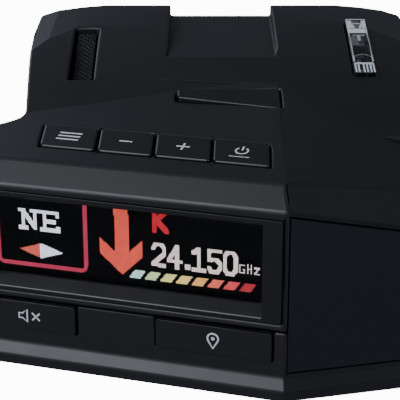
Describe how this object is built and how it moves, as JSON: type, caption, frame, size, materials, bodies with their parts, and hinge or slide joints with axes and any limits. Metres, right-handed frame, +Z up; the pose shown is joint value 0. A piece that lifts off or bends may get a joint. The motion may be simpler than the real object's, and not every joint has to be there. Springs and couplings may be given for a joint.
{
  "type": "radar detector",
  "caption": "Windshield radar detector with a driver-turned rear display, deck and rear keys, bracket channel with release button, horn, speaker and laser lenses.",
  "frame": {"origin": "centre of the bounding box at its lowest face", "axes": "+Y toward the windshield (front of the car), -Y the display end facing the driver, +X to the right as the driver sees it, +Z up"},
  "size_m": [0.0782, 0.1144, 0.0371],
  "materials": {
    "case_plastic": "satin",
    "bezel_plastic": "satin",
    "panel_gloss": "gloss",
    "key_plastic": "satin",
    "window_glass": "gloss",
    "display_face": "gloss",
    "board_green": "satin",
    "ribbon_amber": "gloss",
    "steel_part": "brushed",
    "inner_black": "matte",
    "cone_paper": "matte",
    "magnet_metal": "satin",
    "lens_clear": "gloss",
    "lens_red": "gloss",
    "chip_black": "matte",
    "horn_metal": "satin",
    "ceramic": "matte",
    "switch_metal": "satin",
    "label_foil": "satin"
  },
  "bodies": {
    "case": {"top_cover": "case_plastic", "bottom_cover": "case_plastic", "display_bezel": "bezel_plastic", "display_window": "window_glass", "display_module": "display_face", "display_board": "board_green", "display_ribbon": "ribbon_amber", "side_panel": "panel_gloss", "release_spring": "steel_part", "bracket_socket": "bezel_plastic", "speaker_grille": "bezel_plastic", "speaker_frame": "inner_black", "speaker_cone": "cone_paper", "speaker_magnet": "magnet_metal", "speaker_clamp": "inner_black", "rear_laser_lens": "lens_clear", "rear_laser_sensor": "chip_black", "front_laser_lens": "lens_red", "front_laser_sensor": "chip_black", "main_board": "board_green", "microwave_horn": "horn_metal", "horn_lid": "horn_metal", "rf_shield": "horn_metal", "gps_antenna": "ceramic", "processor_chip": "chip_black", "board_chips": "chip_black", "power_socket": "inner_black", "audio_jack": "inner_black", "update_socket": "horn_metal", "key_board": "board_green", "key_board_ribbon": "ribbon_amber", "deck_switches": "switch_metal", "rear_switches": "switch_metal", "switch_board": "board_green", "cover_screws": "steel_part", "board_screws": "steel_part", "underside_label": "label_foil", "release_guide": "inner_black", "sensor_board": "board_green"},
    "menu_key": {"menu_button": "key_plastic"},
    "minus_key": {"minus_button": "key_plastic"},
    "plus_key": {"plus_button": "key_plastic"},
    "power_key": {"power_button": "key_plastic"},
    "mute_key": {"mute_button": "key_plastic"},
    "mark_key": {"mark_button": "key_plastic"},
    "release_body": {"release_button": "key_plastic", "release_latch": "steel_part"}
  },
  "joints": [
    {"name": "menu_press", "type": "slide", "parent": "case", "child": "menu_key", "axis": [0.0514, 0.1496, -0.9874], "range_m": [0, 0.0005], "stiffness_N_per_m": 600, "springref_m": -0.0008},
    {"name": "minus_press", "type": "slide", "parent": "case", "child": "minus_key", "axis": [0.0514, 0.1496, -0.9874], "range_m": [0, 0.0005], "stiffness_N_per_m": 600, "springref_m": -0.0008},
    {"name": "plus_press", "type": "slide", "parent": "case", "child": "plus_key", "axis": [0.0514, 0.1496, -0.9874], "range_m": [0, 0.0005], "stiffness_N_per_m": 600, "springref_m": -0.0008},
    {"name": "power_press", "type": "slide", "parent": "case", "child": "power_key", "axis": [0.0514, 0.1496, -0.9874], "range_m": [0, 0.0005], "stiffness_N_per_m": 600, "springref_m": -0.0008},
    {"name": "mute_press", "type": "slide", "parent": "case", "child": "mute_key", "axis": [0.2773, 0.9608, 0], "range_m": [0, 0.0005], "stiffness_N_per_m": 600, "springref_m": -0.0008},
    {"name": "mark_press", "type": "slide", "parent": "case", "child": "mark_key", "axis": [0.2773, 0.9608, 0], "range_m": [0, 0.0005], "stiffness_N_per_m": 600, "springref_m": -0.0008},
    {"name": "release_press", "type": "slide", "parent": "case", "child": "release_body", "axis": [0, 0, -1], "range_m": [0, 0.0014], "stiffness_N_per_m": 900, "springref_m": -0.002, "deforming": ["release_spring"]}
  ]
}
